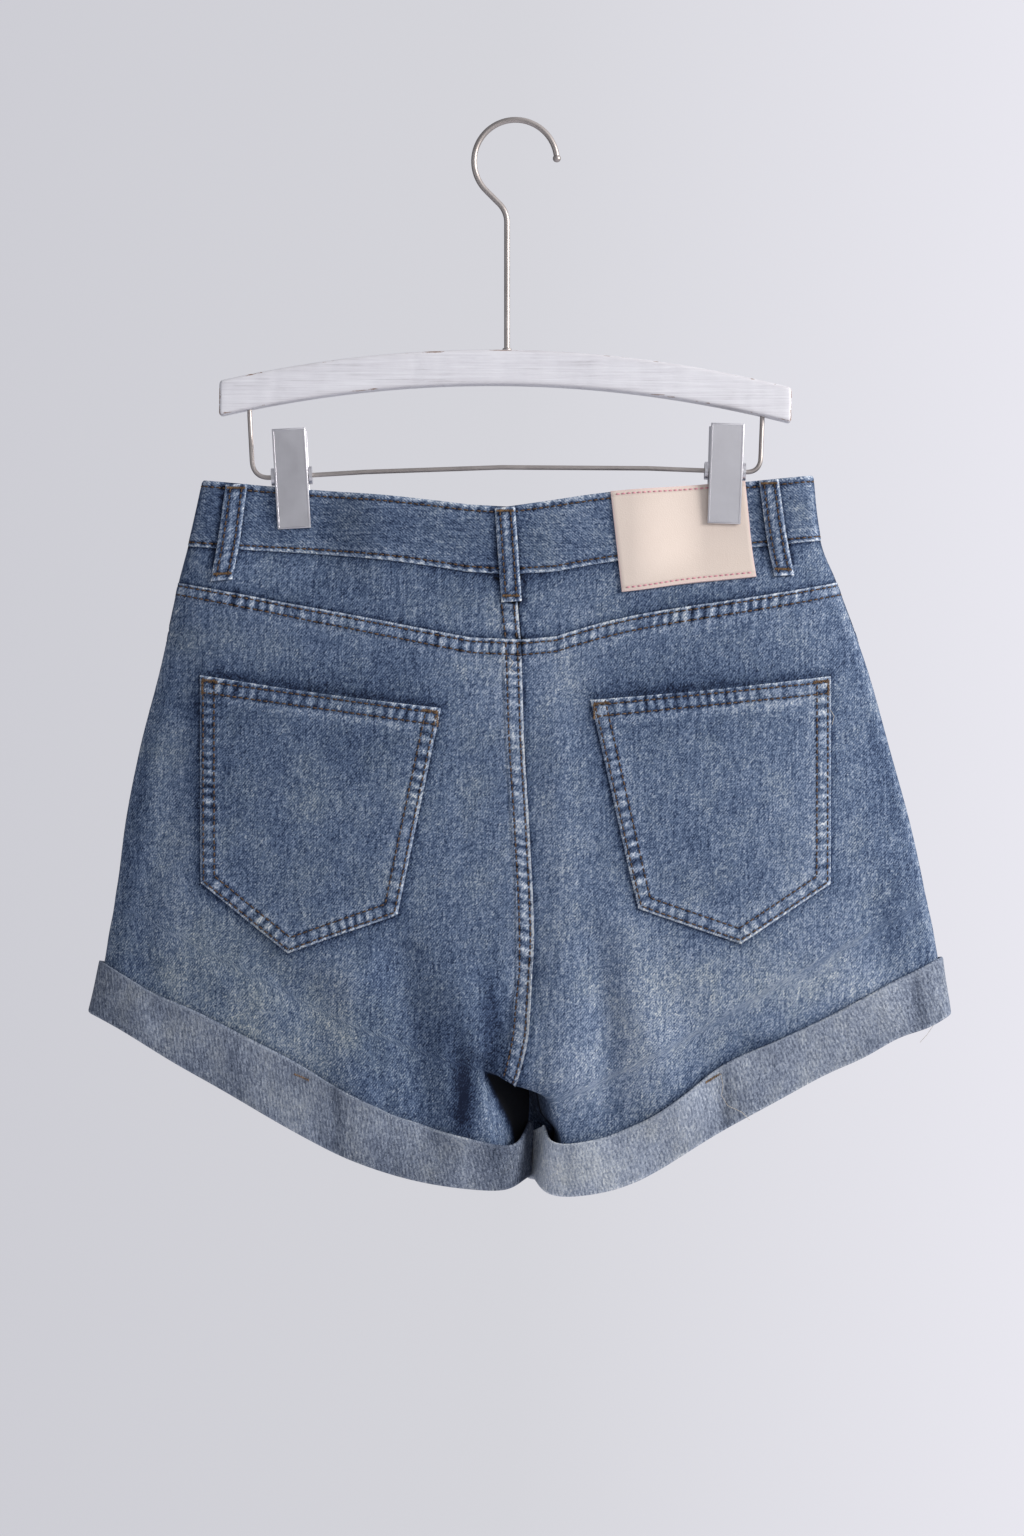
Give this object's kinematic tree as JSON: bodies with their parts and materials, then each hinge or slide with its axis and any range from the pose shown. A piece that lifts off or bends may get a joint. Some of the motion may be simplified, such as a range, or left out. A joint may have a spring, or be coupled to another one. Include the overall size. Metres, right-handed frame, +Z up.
{
  "type": "denim shorts on a clip hanger",
  "caption": "Rolled-cuff denim shorts hanging flat from a curved wooden hanger with metal clips, with back patch pockets, belt loops and a bare leather patch.",
  "frame": {"origin": "where the hook's round rests on a rail, inside the top of the hook", "axes": "+X towards the wearer's right, +Y from the back of the shorts to their front, +Z up"},
  "size_m": [0.5183, 0.0615, 0.6455],
  "materials": {
    "denim": "matt",
    "denim_reverse": "matt",
    "leather": "satin",
    "button_metal": "satin",
    "nickel": "brushed",
    "painted_wood": "matt white paint, worn brown at its edges"
  },
  "bodies": {
    "root": {"back_panel_L": "denim", "back_panel_R": "denim", "yoke_L": "denim", "yoke_R": "denim", "front_panel_L": "denim", "front_panel_R": "denim", "front_pocket_facing_L": "denim", "front_pocket_facing_R": "denim", "fly": "denim", "waistband_back": "denim", "waistband_front_L": "denim", "waistband_front_R": "denim", "back_pocket_L": "denim", "back_pocket_R": "denim", "belt_loop_back_L": "denim", "belt_loop_back_centre": "denim", "belt_loop_back_R": "denim", "belt_loop_front_L": "denim", "belt_loop_front_R": "denim", "leather_patch": "leather", "cuff_back_L": "denim_reverse", "cuff_back_R": "denim_reverse", "cuff_front_L": "denim_reverse", "cuff_front_R": "denim_reverse", "button": "button_metal", "hanger_bar": "painted_wood", "hanger_hook": "nickel", "hanger_rod": "nickel", "clip_L_near_jaw": "nickel", "clip_L_far_jaw": "nickel", "clip_L_barrel": "nickel", "clip_R_near_jaw": "nickel", "clip_R_far_jaw": "nickel", "clip_R_barrel": "nickel"}
  },
  "joints": []
}
